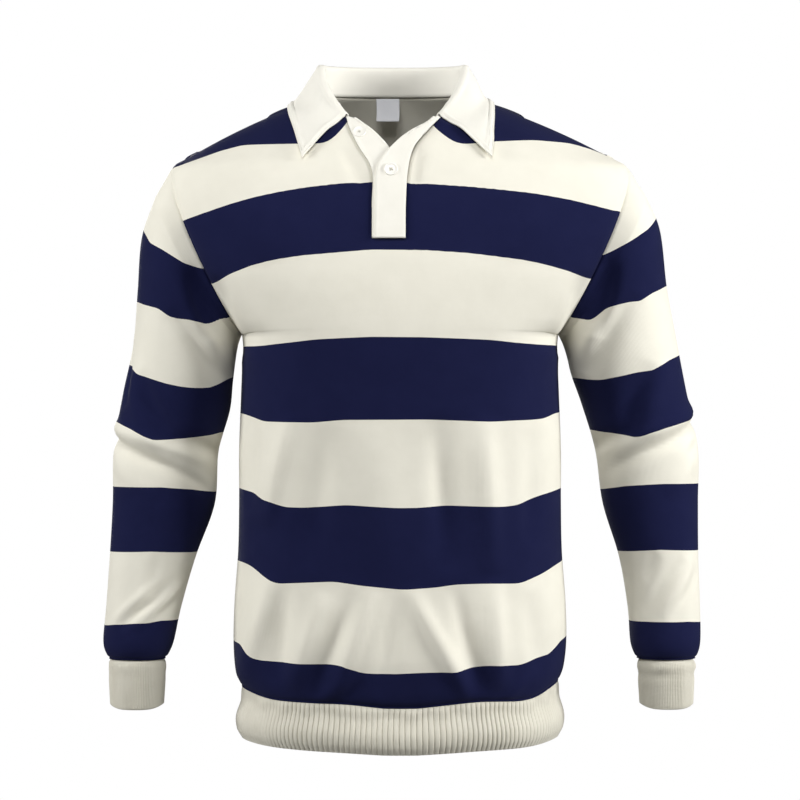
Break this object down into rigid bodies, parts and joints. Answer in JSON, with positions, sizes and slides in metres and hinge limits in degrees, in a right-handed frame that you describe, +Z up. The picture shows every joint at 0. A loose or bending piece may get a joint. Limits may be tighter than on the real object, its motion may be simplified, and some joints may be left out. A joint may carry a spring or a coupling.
{
  "type": "rugby shirt",
  "caption": "Long-sleeved striped rugby shirt in its worn shape, with a turn-down collar, a short buttoned placket, and rib-knit cuffs and hem band.",
  "frame": {"origin": "midway between the neck points of the two shoulder seams, level with the top of the shoulders, where the wearer's shoulders carry the shirt", "axes": "+Z up along the body, +X to the wearer's left, -Y out of the front"},
  "size_m": [0.664, 0.251, 0.7591],
  "materials": {
    "striped_jersey": "matt cotton jersey, cream with broad navy hoops",
    "rib_knit": "matt cream rib knit",
    "collar_twill": "matt cream cotton twill",
    "button_plastic": "satin ivory",
    "label_tape": "smooth white woven tape, blank"
  },
  "bodies": {
    "root": {"front_body": "striped_jersey", "back_body": "striped_jersey", "sleeve_right": "striped_jersey", "sleeve_left": "striped_jersey", "cuff_right": "rib_knit", "cuff_left": "rib_knit", "hem_band": "rib_knit", "collar": "collar_twill", "placket_over": "collar_twill", "placket_under": "collar_twill", "button_low": "button_plastic", "button_top": "button_plastic", "neck_label": "label_tape"}
  },
  "joints": []
}
